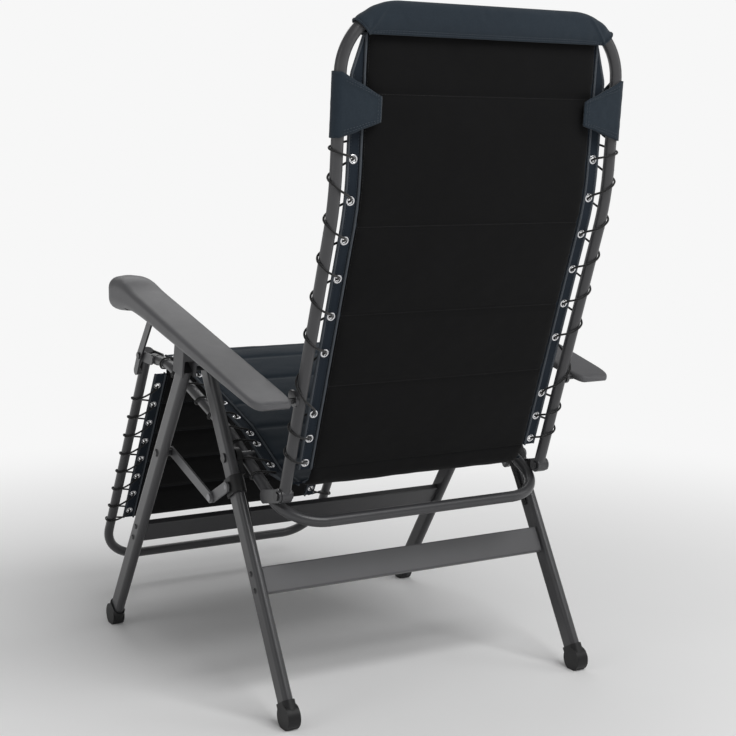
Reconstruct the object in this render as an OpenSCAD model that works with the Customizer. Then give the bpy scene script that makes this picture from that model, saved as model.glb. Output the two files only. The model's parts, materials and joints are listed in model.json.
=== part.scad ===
// Zero gravity camping recliner, built from its separate pieces.
// +Z is up, the sitter faces -Y, and X = 0 is the plane of symmetry.
// +X is the sitter's left. The origin lies on the floor under the middle.

/* [Overall] */
// Distance from the middle plane to the side tubes of seat, back and leg rest
tube_x = 266; // [230:1:300]
// Outer diameter of the bent frame tubes
tube_d = 20; // [16:0.5:24]
// Wall of the tubes and of the legs
wall = 1.2; // [1:0.1:2.5]
// Height of the leg hinge under the armrests
apex_z = 572; // [540:1:620]
// Top of the backrest bow, above the floor
back_top_z = 1170; // [1000:1:1300]

/* [Legs] */
// Width of the flat oval leg section, seen from the side
leg_w = 38; // [30:1:45]
// Thickness of the flat oval leg section
leg_t = 18; // [14:1:24]
// Distance from the middle plane to the front legs
front_leg_x = 345; // [330:1:380]
// Distance from the middle plane to the rear legs
rear_leg_x = 300; // [296:1:315]
// Where the front legs stand, measured from the middle
front_foot_y = -292; // [-340:1:-240]
// Where the rear legs stand, measured from the middle
rear_foot_y = 430; // [380:1:480]
// Height of both crossbars above the floor
crossbar_z = 223; // [160:1:250]
// Height of the flat crossbar section, along the leg
crossbar_h = 48; // [36:1:56]
// Depth of the crossbar section
crossbar_t = 14; // [10:1:18]

/* [Brace] */
// Distance from the leg hinge to the brace hinge on the front leg
brace_front_reach = 209; // [195:1:225]
// Distance from the leg hinge to the collar on the rear leg
brace_rear_reach = 227; // [222:1:240]
// Width of the two flat brace bars
brace_w = 20; // [14:1:24]
// Thickness of the two flat brace bars
brace_t = 4; // [3:0.5:5]

/* [Armrests] */
// Width of each moulded armrest
arm_w = 72; // [64:1:80]
// Distance from the middle plane to the armrest's inner face
arm_x = 290; // [288:1:294]
// Wall of the armrest moulding
arm_wall = 3.5; // [2.5:0.5:4.5]

/* [Fabric] */
// Distance from the middle plane to the rows of eyelets
eyelet_x = 234; // [228:1:238]
// Thickness of the padded panels
pad_t = 24; // [14:1:30]
// Thickness of the border bands that carry the eyelets
border_t = 4; // [3:0.5:6]
// Diameter of the elastic lacing cord
cord_d = 4; // [3:0.5:5]

/* [Hidden] */
$fn = 48;

// Clearances
running = 0.08;    // a pin in its hole
joint_gap = 0.6;   // between faces of pieces that turn on each other
cord_gap = 0.5;    // between the cord and the tube that it wraps
fabric_gap = 0.4;  // between a sewn sleeve and the tube inside it

// Side-view places, each as [y, z]
apex = [105, apex_z];
front_foot = [front_foot_y, 0];
rear_foot = [rear_foot_y, 0];
hip = [340, 378];
arm_rear = [402, 550];
arm_front = [-180, 665];
knee = [-275, 550];
leg_rest_end = [-566, 62];

front_leg_dir = unit(front_foot - apex);
rear_leg_dir = unit(rear_foot - apex);
seat_pivot = apex + rear_leg_dir * 173.5;
brace_front = apex + front_leg_dir * brace_front_reach;
brace_rear = apex + rear_leg_dir * brace_rear_reach;
brace_elbow = brace_rear + [-58, -29];

// Bent tubes, from their outer end to the middle, each point as [x, y, z]
tube_r = tube_d / 2;
back_bend = [521, 874];
back_bend_r = 400;
bow_corner_r = 100;
back_top = [549.6, back_top_z];
back_side = [hip, back_bend, back_top];
seat_front = [-237, 547.5];
seat_rise = [-155, 545];
seat_mid = [125, 452];
seat_rear = [360, 329];
seat_side = [seat_front, seat_rise, seat_mid, seat_rear];
seat_bend_r = 150;
rear_corner_r = 75;
leg_rest_dir = unit(leg_rest_end - knee);
leg_side = [knee - leg_rest_dir * 14, leg_rest_end];
foot_corner_r = 85;

// Hinge parts
pin_r = 4;
plate_t = 3;
hip_plate_x = tube_x + tube_r + joint_gap;
knee_plate_x = tube_x + tube_r + 0.5;
crank_x = knee_plate_x + plate_t + 1;
crank_t = 4;
bolt_r = 5;
block_x = tube_x + tube_r + 5;
block_drop = 36;    // how far the seat pivot block reaches down the rear leg
stay_reach = 154;   // how far down its stay ends
screw_r = 2.6;
screw_head_r = 5.5;
screw_step = 15;
foot_wall = 2.8;
foot_h = 40;
leg_start = 17;      // a leg's lower end, measured along it from the floor
leg_over = 6;        // how far a leg runs on past its upper hinge

// Armrest parts, in a frame that runs along the line from rear to front pivot
arm_dir = unit(arm_front - arm_rear);
arm_tilt = atan2(arm_dir[1], -arm_dir[0]);
arm_mid_x = arm_x + arm_w / 2;
channel_x = 338;
channel_w = 32;
channel_low = 38.5;
channel_high = 59;
channel_wall = 2.5;
slot_w = 14;
slide_travel = 93;
shoe_half = 22;
shoe_play = 2.6;

// Fabric
border_x = eyelet_x + 10;
pad_x = eyelet_x - 12;
pad_lift = 5;
leg_inset = 8;       // how much narrower the leg rest's panel is on each side
eyelet_r = 6.2;
eyelet_wire_r = 2.1;
cord_r = cord_d / 2;
loop_r = tube_r + cord_r + cord_gap;
back_eyelets_at = concat([for (i = [0:2]) 58 + 47 * i], [for (i = [0:5]) 265 + 66 * i]);
seat_eyelets_at = concat([for (i = [0:6]) 32 + 60 * i], [for (i = [0:1]) 424 + 62 * i]);
leg_eyelets_at = [for (i = [0:7]) 86 + 50 * i];

function unit(v) = v / norm(v);
function turn(a, b) = atan2(a[0] * b[1] - a[1] * b[0], a * b);

// A side view path with rounded corners: the place and heading at a distance along it
function corner(p, i) = turn(p[i] - p[i - 1], p[i + 1] - p[i]);
function inside(p, i) = i > 0 && i < len(p) - 1;
function tangent(p, r, i) = inside(p, i) ? r * tan(abs(corner(p, i)) / 2) : 0;
function arc_length(p, r, i) = inside(p, i) ? r * abs(corner(p, i)) * PI / 180 : 0;
function straight(p, r, i) = norm(p[i + 1] - p[i]) - tangent(p, r, i) - tangent(p, r, i + 1);
function heading(p, i) = unit(p[i + 1] - p[i]);
function rotated(v, a) = [v[0] * cos(a) - v[1] * sin(a), v[0] * sin(a) + v[1] * cos(a)];
function on_arc(start, dir, r, side, a) = [
    start + rotated(dir, 90 * side) * r + rotated(rotated(dir, -90 * side) * r, a * side),
    rotated(dir, a * side)
];
function path_at(p, r, s, i = 0) =
    s <= straight(p, r, i) || i >= len(p) - 2
        ? [p[i] + heading(p, i) * (tangent(p, r, i) + s), heading(p, i)]
    : s <= straight(p, r, i) + arc_length(p, r, i + 1)
        ? on_arc(
            p[i + 1] - heading(p, i) * tangent(p, r, i + 1), heading(p, i), r,
            sign(corner(p, i + 1)), (s - straight(p, r, i)) * 180 / (PI * r))
    : path_at(p, r, s - straight(p, r, i) - arc_length(p, r, i + 1), i + 1);

// Outline of a slab of thickness t that follows a path, lifted sideways
function slab_side(p, d) = [
    for (i = [0:len(p) - 1])
        let(a = heading(p, max(i - 1, 0)), b = heading(p, min(i, len(p) - 2)), m = unit(a + b))
            p[i] + rotated(m, 90) * d / (m * b)
];
function reversed(p) = [for (i = [len(p) - 1:-1:0]) p[i]];
function slab(p, t, lift) = concat(slab_side(p, lift + t / 2), reversed(slab_side(p, lift - t / 2)));
function arc(c, r, a0, a1, n) = [for (i = [0:n]) c + r * [cos(a0 + (a1 - a0) * i / n), sin(a0 + (a1 - a0) * i / n)]];

module both_sides() {
    children();
    mirror([1, 0, 0]) children();
}

module at_side(side) {
    if (side > 0) children();
    else mirror([1, 0, 0]) children();
}

// Local Z runs along dir in the side view, local X stays world X
module along(x, p, dir) {
    translate([x, p[0], p[1]]) rotate([atan2(-dir[0], dir[1]), 0, 0]) children();
}

// A round bar along X
module cross_pin(p, r, x0, x1) {
    translate([x0, p[0], p[1]]) rotate([0, 90, 0]) cylinder(h = x1 - x0, r = r);
}

// A side view outline made x0 to x1 wide
module side_plate(x0, x1) {
    translate([x0, 0, 0]) rotate([90, 0, 90]) linear_extrude(x1 - x0) children();
}

module oval(w, t) {
    square([t, w - t], center = true);
    for (s = [-1, 1]) translate([0, s * (w - t) / 2]) circle(d = t);
}

// A flat bar with round ends, a little wider than its shank, between two places
module link_bar(a, b, r, x0, x1) {
    w = rotated(unit(b - a), 90) * (r - 0.3);
    side_plate(x0, x1) {
        polygon([a + w, b + w, b - w, a - w]);
        translate(a) circle(r);
        translate(b) circle(r);
    }
}

module rod(a, b, r) {
    d = unit(b - a);
    side = unit(abs(d[0]) > 0.9 ? cross([0, 0, 1], d) : cross([1, 0, 0], d));
    up = cross(d, side);
    multmatrix([
        [side[0], up[0], d[0], a[0]], [side[1], up[1], d[1], a[1]], [side[2], up[2], d[2], a[2]], [0, 0, 0, 1]
    ]) cylinder(h = norm(b - a), r = r);
}

// A round bend of radius bend_r between two tangent points
module elbow(before, at, after, bend_r, r) {
    u = unit(before - at);
    w = unit(after - at);
    deg = 180 - acos(u * w);
    start = at + u * bend_r * tan(deg / 2);
    middle = at + unit(u + w) * bend_r / cos(deg / 2);
    x = unit(start - middle);
    z = unit(cross(x, at + w * bend_r * tan(deg / 2) - middle));
    y = cross(z, x);
    multmatrix([
        [x[0], y[0], z[0], middle[0]], [x[1], y[1], z[1], middle[1]], [x[2], y[2], z[2], middle[2]], [0, 0, 0, 1]
    ]) rotate_extrude(angle = deg) translate([bend_r, 0]) circle(r);
}

function cut(p, radii, i) =
    i == 0 || i == len(p) - 1 ? 0
    : radii[i] * tan((180 - acos(unit(p[i - 1] - p[i]) * unit(p[i + 1] - p[i]))) / 2);

// A tube through the points, with a bend at each inner point. A thin weld
// collar covers the join at both ends of every bend.
collar_half = 1.5;
collar_rise = 0.15;
collar_slit = 0.5;

module bent_tube(p, radii, r) {
    n = len(p) - 2;
    for (i = [0:n]) {
        d = unit(p[i + 1] - p[i]);
        a = p[i] + d * cut(p, radii, i);
        b = p[i + 1] - d * cut(p, radii, i + 1);
        rod(a + d * (i > 0 ? collar_slit : 0), b - d * (i < n ? collar_slit : 0), r);
        if (i > 0) rod(a - d * collar_half, a + d * collar_half, r + collar_rise);
        if (i < n) rod(b - d * collar_half, b + d * collar_half, r + collar_rise);
    }
    for (i = [1:n]) elbow(p[i - 1], p[i], p[i + 1], radii[i], r);
}

function lifted(p, side) = [side * tube_x, p[0], p[1]];
function frame_points(side_path) = concat(
    [for (p = side_path) lifted(p, 1)], [for (p = reversed(side_path)) lifted(p, -1)]);
function shortened(p, d) = [
    for (i = [0:len(p) - 1])
        i == 0 ? p[0] + unit(p[1] - p[0]) * d
        : i == len(p) - 1 ? p[i] + unit(p[i - 1] - p[i]) * d : p[i]
];

module hollow_frame(side_path, radii) {
    p = frame_points(side_path);
    all_radii = concat(radii, reversed(radii));
    difference() {
        bent_tube(p, all_radii, tube_r);
        bent_tube(shortened(p, 16), all_radii, tube_r - wall);
    }
}

back_radii = [0, back_bend_r, bow_corner_r];
seat_radii = [0, seat_bend_r, seat_bend_r, rear_corner_r];
leg_radii = [0, foot_corner_r];

// ---------------------------------------------------------------- legs

module leg(x, foot) {
    dir = unit(apex - foot);
    length = norm(apex - foot);
    difference() {
        along(x, foot, dir) translate([0, 0, leg_start])
            linear_extrude(length + leg_over - leg_start) oval(leg_w, leg_t);
        along(x, foot, dir) translate([0, 0, 4]) linear_extrude(length - 30)
            oval(leg_w - 2 * wall, leg_t - 2 * wall);
        cross_pin(apex, bolt_r + running, x - leg_t, x + leg_t);
        for (s = [-1, 1])
            cross_pin(crossbar_at(foot) + dir * s * screw_step, screw_r + running, x - leg_t, x + leg_t);
        children();
    }
}

function crossbar_at(foot) = foot + (apex - foot) * crossbar_z / apex_z;

module foot_cap(x, foot) {
    dir = unit(apex - foot);
    r = leg_w / 2 + foot_wall;
    difference() {
        union() {
            along(x, foot, dir) translate([0, 0, r]) linear_extrude(foot_h - r + 8)
                oval(leg_w + 2 * foot_wall, leg_t + 2 * foot_wall);
            translate([x, foot[0] + dir[0] * r, r - 2]) rotate([0, 90, 0])
                cylinder(h = leg_t + 2 * foot_wall, r = r, center = true);
        }
        along(x, foot, dir) translate([0, 0, leg_start]) linear_extrude(foot_h + 20) oval(leg_w, leg_t);
        translate([x - 50, foot[0] - 100, -60]) cube([100, 200, 60]);
    }
}

module crossbar(x, foot) {
    dir = unit(apex - foot);
    half = x - leg_t / 2;
    p = crossbar_at(foot);
    difference() {
        translate([0, p[0], p[1]]) rotate([atan2(-dir[0], dir[1]), 0, 0]) rotate([0, 90, 0]) {
            difference() {
                linear_extrude(2 * half, center = true) bar_section(crossbar_h, crossbar_t, 3);
                linear_extrude(2 * half - 36, center = true)
                    bar_section(crossbar_h - 2 * wall, crossbar_t - 2 * wall, 1.5);
            }
        }
        both_sides() for (s = [-1, 1])
            cross_pin(p + dir * s * screw_step, screw_r + running, half - 16, half + 1);
    }
}

module bar_section(h, t, r) {
    square([h - 2 * r, t], center = true);
    square([h, t - 2 * r], center = true);
    for (sx = [-1, 1], sy = [-1, 1]) translate([sx * (h / 2 - r), sy * (t / 2 - r)]) circle(r);
}

module crossbar_screws(x, foot) {
    dir = unit(apex - foot);
    both_sides() for (s = [-1, 1]) {
        p = crossbar_at(foot) + dir * s * screw_step;
        cross_pin(p, screw_r, x - leg_t / 2 - 14, x + leg_t / 2);
        translate([x + leg_t / 2, p[0], p[1]]) rotate([0, 90, 0]) cylinder(h = 2.4, r1 = screw_head_r, r2 = 3.4);
    }
}

module rear_leg(side) {
    color("#4a4a4c") at_side(side) leg(rear_leg_x, rear_foot)
        cross_pin(seat_pivot, bolt_r + running, rear_leg_x - leg_t, rear_leg_x + leg_t);
}

module front_leg(side) {
    color("#4a4a4c") at_side(side) leg(front_leg_x, front_foot)
        cross_pin(brace_front, bolt_r + running, front_leg_x - leg_t, front_leg_x + leg_t);
}

module rear_leg_left() { rear_leg(1); }
module rear_leg_right() { rear_leg(-1); }
module front_leg_left() { front_leg(1); }
module front_leg_right() { front_leg(-1); }
module rear_crossbar() { color("#515153") crossbar(rear_leg_x, rear_foot); }
module front_crossbar() { color("#3a3a3c") crossbar(front_leg_x, front_foot); }
module rear_foot_left() { color("#161616") foot_cap(rear_leg_x, rear_foot); }
module rear_foot_right() { color("#161616") mirror([1, 0, 0]) foot_cap(rear_leg_x, rear_foot); }
module front_foot_left() { color("#161616") foot_cap(front_leg_x, front_foot); }
module front_foot_right() { color("#161616") mirror([1, 0, 0]) foot_cap(front_leg_x, front_foot); }
module rear_crossbar_screws() { color("#202022") crossbar_screws(rear_leg_x, rear_foot); }
module front_crossbar_screws() { color("#202022") crossbar_screws(front_leg_x, front_foot); }

// The hinge bolt of front and rear legs, fixed in the rear leg
module apex_bolts() {
    color("#2a2a2c") both_sides() {
        cross_pin(apex, bolt_r, rear_leg_x - leg_t / 2 - 1, front_leg_x + leg_t / 2 + 2);
        cross_pin(apex, 8, rear_leg_x - leg_t / 2 - 4, rear_leg_x - leg_t / 2);
    }
}

// Moulded block between the rear leg and the seat tube
module seat_pivot_block(side) {
    color("#1b1b1c") at_side(side) difference() {
        union() {
            along(0, seat_pivot, -rear_leg_dir)
                side_box(block_x, rear_leg_x - leg_t / 2, 26, -block_drop, 0);
            cross_pin(seat_pivot, 17, block_x, rear_leg_x - leg_t / 2);
            cross_pin(seat_pivot, 12, tube_x + tube_r + 1.5, block_x + 1);
        }
        cross_pin(seat_pivot, bolt_r + running, tube_x, rear_leg_x);
    }
}

module side_box(x0, x1, w, z0, z1) {
    translate([x0, -w / 2, z0]) cube([x1 - x0, w, z1 - z0]);
}

module seat_pivot_block_left() { seat_pivot_block(1); }
module seat_pivot_block_right() { seat_pivot_block(-1); }

module seat_pivot_bolts() {
    color("#2a2a2c") both_sides() {
        cross_pin(seat_pivot, bolt_r, tube_x - tube_r - 4.5, rear_leg_x + leg_t / 2);
        cross_pin(seat_pivot, 8.5, rear_leg_x + leg_t / 2, rear_leg_x + leg_t / 2 + 3);
        cross_pin(seat_pivot, 8, tube_x - tube_r - 5.5, tube_x - tube_r - joint_gap);
    }
}

// Thin strap from the block down to the leg's inner face
module pivot_block_stays() {
    top = seat_pivot + rear_leg_dir * block_drop;
    low = seat_pivot + rear_leg_dir * stay_reach;
    color("#161616") both_sides() {
        a = [block_x + 1.5, top[0], top[1]];
        b = [rear_leg_x - leg_t / 2 - 1.6, low[0], low[1]];
        d = unit(b - a);
        w = [0, -rear_leg_dir[1], rear_leg_dir[0]];
        n = cross(d, w);
        multmatrix([
            [n[0], w[0], d[0], a[0]], [n[1], w[1], d[1], a[1]], [n[2], w[2], d[2], a[2]], [0, 0, 0, 1]
        ]) translate([-1.5, -4, 0]) cube([3, 8, norm(b - a)]);
        cross_pin(low, 3.5, b[0] - 2.5, rear_leg_x - leg_t / 2);
    }
}

// ---------------------------------------------------------------- folding brace

collar_play = 0.4;
collar_wall = 4;
collar_x = rear_leg_x + leg_t / 2 + collar_play + collar_wall;
rear_bar_x = collar_x + 2.8;
front_bar_x = rear_bar_x + brace_t + joint_gap;

module brace_collar(side) {
    outer_w = leg_w + 2 * (collar_play + collar_wall);
    outer_t = leg_t + 2 * (collar_play + collar_wall);
    color("#161616") at_side(side) {
        difference() {
            along(rear_leg_x, brace_rear, -rear_leg_dir) difference() {
                linear_extrude(32, center = true) oval(outer_w, outer_t);
                linear_extrude(40, center = true) oval(leg_w + 2 * collar_play, leg_t + 2 * collar_play);
                translate([-outer_t, -8, -20]) cube([outer_t, 16, 40]);
            }
            cross_pin(brace_rear, pin_r + running, collar_x - collar_wall, collar_x + 1);
        }
        difference() {
            cross_pin(brace_rear, 9, collar_x - 0.5, rear_bar_x - 0.3);
            cross_pin(brace_rear, pin_r + running, collar_x - collar_wall, rear_bar_x);
        }
    }
}

module brace_collar_left() { brace_collar(1); }
module brace_collar_right() { brace_collar(-1); }

module brace_collar_rivets() {
    color("#8a8a8c") both_sides() cross_pin(brace_rear, pin_r, collar_x - collar_wall + 0.6, rear_bar_x + brace_t);
}

module brace_rear_bar(side) {
    color("#58585a") at_side(side) difference() {
        link_bar(brace_rear, brace_elbow, brace_w / 2, rear_bar_x, rear_bar_x + brace_t);
        cross_pin(brace_rear, pin_r + running, rear_bar_x - 1, rear_bar_x + brace_t + 1);
        cross_pin(brace_elbow, pin_r + running, rear_bar_x - 1, rear_bar_x + brace_t + 1);
    }
}

module brace_rear_bar_left() { brace_rear_bar(1); }
module brace_rear_bar_right() { brace_rear_bar(-1); }

module brace_elbow_rivets() {
    color("#8a8a8c") both_sides() {
        cross_pin(brace_elbow, pin_r, rear_bar_x - 1, front_bar_x + brace_t + 1);
        cross_pin(brace_elbow, 7, front_bar_x + brace_t + 0.3, front_bar_x + brace_t + 2);
        cross_pin(brace_elbow, 7, rear_bar_x - 2, rear_bar_x);
    }
}

module brace_front_bar(side) {
    color("#58585a") at_side(side) difference() {
        link_bar(brace_elbow, brace_front, brace_w / 2, front_bar_x, front_bar_x + brace_t);
        cross_pin(brace_elbow, pin_r + running, front_bar_x - 1, front_bar_x + brace_t + 1);
    }
}

module brace_front_bar_left() { brace_front_bar(1); }
module brace_front_bar_right() { brace_front_bar(-1); }

// Shoulder bolt through the front leg; its end stands just clear of the bar
module brace_bolts() {
    inner = front_leg_x - leg_t / 2;
    color("#2a2a2c") both_sides() {
        cross_pin(brace_front, bolt_r, inner, front_leg_x + leg_t / 2);
        cross_pin(brace_front, 8, front_bar_x + brace_t + joint_gap, inner);
        translate([front_leg_x + leg_t / 2, brace_front[0], brace_front[1]])
            rotate([0, 90, 0]) cylinder(h = 3, r1 = 8, r2 = 5.5);
    }
}

// ---------------------------------------------------------------- seat

module seat_frame() {
    lug = path_at(seat_side, seat_bend_r, 560)[0];
    color("#48484a") difference() {
        union() {
            hollow_frame(seat_side, seat_radii);
            both_sides() {
                along(tube_x, seat_front, unit(seat_rise - seat_front))
                    cylinder(h = 24, r = tube_r + 0.9);
                link_bar(seat_front + [12, 0], knee, 11, knee_plate_x, knee_plate_x + plate_t);
                link_bar(seat_front + [12, 0], knee, 11,
                    2 * tube_x - knee_plate_x - plate_t, 2 * tube_x - knee_plate_x);
                link_bar(hip, lug, 12, hip_plate_x, hip_plate_x + 4);
                cross_pin(lug, 8, tube_x, hip_plate_x + 1);
                cross_pin(seat_pivot, 9, tube_x - tube_r + 0.5, tube_x + tube_r - 0.5);
            }
        }
        both_sides() {
            cross_pin(knee, pin_r + running, tube_x - 30, tube_x + 30);
            cross_pin(hip, pin_r + running, tube_x - 30, tube_x + 30);
            cross_pin(seat_pivot, bolt_r + running, tube_x - 30, tube_x + 30);
        }
    }
}

seat_pad_path = [
    path_at(seat_side, seat_bend_r, 2)[0], path_at(seat_side, seat_bend_r, 62)[0],
    path_at(seat_side, seat_bend_r, 106)[0], path_at(seat_side, seat_bend_r, 356)[0],
    path_at(seat_side, seat_bend_r, 412)[0], path_at(seat_side, seat_bend_r, 508)[0], [312, 384]
];
back_pad_path = [
    path_at(back_side, back_bend_r, 44)[0], path_at(back_side, back_bend_r, 440)[0],
    path_at(back_side, back_bend_r, 500)[0], path_at(back_side, back_bend_r, 570)[0],
    path_at(back_side, back_bend_r, 788)[0]
];

// A padded panel with thin borders, and a hole for each eyelet
module panel(path, lift, holes, inset = 0) {
    difference() {
        union() {
            side_plate(inset - pad_x, pad_x - inset) polygon(slab(path, pad_t, lift));
            side_plate(inset - border_x, border_x - inset) polygon(slab(path, border_t, lift));
        }
        both_sides() for (h = holes) along(eyelet_x - inset, h[0] + rotated(h[1], 90) * lift, h[1])
            rotate([90, 0, 0]) cylinder(h = 2 * border_t, r = eyelet_r + eyelet_wire_r + 0.1, center = true);
    }
}

module eyelets(places, lift, inset = 0) {
    color("#d8d8da") both_sides() for (h = places)
        along(eyelet_x - inset, h[0] + rotated(h[1], 90) * lift, h[1]) rotate([90, 0, 0])
            rotate_extrude() translate([eyelet_r, 0]) circle(r = eyelet_wire_r, $fn = 24);
}

// Elastic cord, one turn round the tube and through each eyelet
module lacing(places, side, inset = 0) {
    inner_x = eyelet_x - inset + loop_r;
    color("#121212") at_side(side) for (h = places) along(0, h[0], h[1]) {
        translate([tube_x, 0, 0]) rotate([0, 0, -90]) rotate_extrude(angle = 180)
            translate([loop_r, 0]) circle(r = cord_r, $fn = 20);
        translate([inner_x, 0, 0]) rotate([0, 0, 90]) rotate_extrude(angle = 180)
            translate([loop_r, 0]) circle(r = cord_r, $fn = 20);
        for (s = [-1, 1]) translate([inner_x, s * loop_r, 0]) rotate([0, 90, 0])
            cylinder(h = tube_x - inner_x, r = cord_r, $fn = 20);
    }
}

seat_places = [for (s = seat_eyelets_at) path_at(seat_side, seat_bend_r, s)];
back_places = [for (s = back_eyelets_at) path_at(back_side, back_bend_r, s)];
leg_places = [for (s = leg_eyelets_at) [knee + leg_rest_dir * s, leg_rest_dir]];

module seat_pad() { color("#2b343c") panel(seat_pad_path, pad_lift, seat_places); }
module seat_eyelets() { eyelets(seat_places, pad_lift); }
module seat_lacing_left() { lacing(seat_places, 1); }
module seat_lacing_right() { lacing(seat_places, -1); }

module knee_pins() {
    color("#2a2a2c") both_sides() {
        inner = 2 * tube_x - knee_plate_x - plate_t;
        cross_pin(knee, pin_r, inner - 2, crank_x + crank_t + 1);
        cross_pin(knee, 7, crank_x + crank_t, crank_x + crank_t + 2.5);
        cross_pin(knee, 7, inner - 3, inner - 0.3);
    }
}

// ---------------------------------------------------------------- back

module back_frame() {
    color("#48484a") difference() {
        union() {
            hollow_frame(back_side, back_radii);
            both_sides() {
                cross_pin(hip, 13, tube_x - tube_r + 0.5, tube_x + tube_r - 0.5);
                link_bar(arm_rear, arm_rear + [-8, 6], 11, tube_x + tube_r - 2, tube_x + tube_r + 3);
            }
        }
        both_sides() {
            cross_pin(hip, pin_r, tube_x - 30, tube_x + 30);
            cross_pin(arm_rear, bolt_r, tube_x, tube_x + 30);
        }
    }
}

module hip_pins() {
    color("#2a2a2c") both_sides() {
        cross_pin(hip, pin_r, tube_x - tube_r - 3, hip_plate_x + 6);
        cross_pin(hip, 8, hip_plate_x + 4.4, hip_plate_x + 7);
        cross_pin(hip, 8, tube_x - tube_r - 4, tube_x - tube_r - 0.4);
    }
}

module armrest_rear_pins() {
    color("#2a2a2c") both_sides() cross_pin(arm_rear, bolt_r, tube_x + 2, arm_x + 26);
}

// The back panel's upper corners are cut off, clear of the bent corner tubes
module back_pad() {
    start = path_at(back_side, back_bend_r, 759);
    color("#171717") difference() {
        panel(back_pad_path, pad_lift, back_places);
        both_sides() along(0, start[0], start[1]) rotate([90, 0, 0])
            linear_extrude(80, center = true) polygon([[246, 0], [246, 31], [214.5, 31]]);
    }
}
module back_eyelets() { eyelets(back_places, pad_lift); }
module back_lacing_left() { lacing(back_places, 1); }
module back_lacing_right() { lacing(back_places, -1); }

// Cloth sleeve over the top bow, with a flap that meets the padded panel
module head_sleeve() {
    p = frame_points(back_side);
    radii = concat(back_radii, reversed(back_radii));
    flap = path_at(back_side, back_bend_r, 789);
    color("#232b33") difference() {
        union() {
            intersection() {
                bent_tube(p, radii, tube_r + 7);
                translate([-232, 400, back_top_z - 48]) cube([464, 300, 100]);
            }
            along(0, flap[0] - [pad_lift, 0], flap[1]) translate([-216, -14, 0]) cube([432, 28, 30]);
        }
        bent_tube(p, radii, tube_r + fabric_gap);
    }
}

// Cloth tab round the side tube near the head
module head_tab(side) {
    low = path_at(back_side, back_bend_r, 628);
    color("#232b33") at_side(side) along(0, low[0], low[1]) difference() {
        linear_extrude(100) {
            translate([tube_x, 0]) circle(tube_r + 4.5);
            translate([border_x + 1, -tube_r - 4.5]) square([tube_x - border_x - 1, 2 * tube_r + 9]);
        }
        translate([tube_x, 0, -1]) cylinder(h = 102, r = tube_r + fabric_gap);
    }
}

module head_tab_left() { head_tab(1); }
module head_tab_right() { head_tab(-1); }

// ---------------------------------------------------------------- leg rest

module leg_rest_frame() {
    weld = knee + leg_rest_dir * 38;
    color("#3c3c3e") difference() {
        union() {
            hollow_frame(leg_side, leg_radii);
            both_sides() {
                link_bar(knee, arm_front, 10, crank_x, crank_x + crank_t);
                link_bar(knee, weld, 9, crank_x, crank_x + crank_t);
                cross_pin(weld, 8, tube_x, crank_x + 1);
            }
        }
        both_sides() {
            cross_pin(knee, pin_r, tube_x - 30, tube_x + 30);
            cross_pin(arm_front, bolt_r, crank_x - 1, crank_x + 10);
        }
    }
}

leg_pad_path = [knee + leg_rest_dir * 52, knee + leg_rest_dir * 460];

module leg_rest_pad() { color("#1b1d20") panel(leg_pad_path, -pad_lift, leg_places, leg_inset); }
module leg_rest_eyelets() { eyelets(leg_places, -pad_lift, leg_inset); }
module leg_rest_lacing_left() { lacing(leg_places, 1, leg_inset); }
module leg_rest_lacing_right() { lacing(leg_places, -1, leg_inset); }

module armrest_front_pins() {
    color("#2a2a2c") both_sides() {
        cross_pin(arm_front, bolt_r, crank_x - 1.5, arm_x + 24);
        cross_pin(arm_front, 8, arm_x + 24, arm_x + 28);
    }
}

// ---------------------------------------------------------------- armrests

// Side view of the armrest: a tapering bar that ends in a round front grip
arm_top_rear = [432, 553];
arm_low_rear = [432, 539];
arm_top_front = [-112, 695];
arm_low_front = [-105, 656];

module arm_side(inset) {
    polygon(concat(
        arc([arm_top_rear[0] - 9, 547], 8 - inset, -90, 74, 6),
        [arm_top_front - [0, inset]],
        arc([-165, 680], 36 - inset, 62, 92, 4),
        arc([-224, 684], 33 - inset, 100, 270, 12),
        [[-170, 654 + inset], arm_low_front + [0, inset]]
    ));
}

module arm_plan(inset) {
    x0 = arm_x + inset;
    x1 = arm_x + arm_w - inset;
    polygon(concat(
        arc([x1 - 30, -226], 30, 0, -90, 8),
        arc([x0 + 30, -226], 30, -90, -180, 8),
        arc([x0 + 10, 420 - inset], 10, 180, 90, 5),
        arc([x1 - 16, 414 - inset], 16, 90, 0, 5)
    ));
}

module armrest(side) {
    drop = 20;
    color("#646466") at_side(side) difference() {
        union() {
            difference() {
                intersection() {
                    side_plate(arm_x, arm_x + arm_w) arm_side(0);
                    translate([0, 0, 400]) linear_extrude(400) arm_plan(0);
                }
                intersection() {
                    side_plate(arm_x, arm_x + arm_w) union() {
                        arm_side(arm_wall);
                        translate([0, -drop]) polygon([
                            [418, 546 + 10], [-100, 690], [-236, 690], [-236, 660], [-100, 650], [418, 530]
                        ]);
                    }
                    translate([0, 0, 400]) linear_extrude(400) arm_plan(arm_wall);
                }
            }
            intersection() {
                union() {
                    cross_pin(arm_rear, 9, arm_x + 1, arm_x + 30);
                    for (s = [-8, 104]) along(channel_x, apex + arm_dir * s, arm_up)
                        translate([0, 0, channel_high]) cylinder(h = 16, r = 7);
                }
                side_plate(arm_x, arm_x + arm_w) {
                    arm_side(1);
                    translate(arm_rear) circle(9);
                }
            }
        }
        cross_pin(arm_rear, bolt_r + running, arm_x - 1, arm_x + 28);
        cross_pin(arm_front, bolt_r + 6.5, arm_x - 1, arm_x + arm_wall + 1);
        translate([arm_x - 1, arm_front[0] - bolt_r - 6.5, arm_front[1] - 30])
            cube([arm_wall + 2, 2 * bolt_r + 13, 30]);
    }
}

arm_up = [arm_dir[1], -arm_dir[0]];

module armrest_left() { armrest(1); }
module armrest_right() { armrest(-1); }

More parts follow.
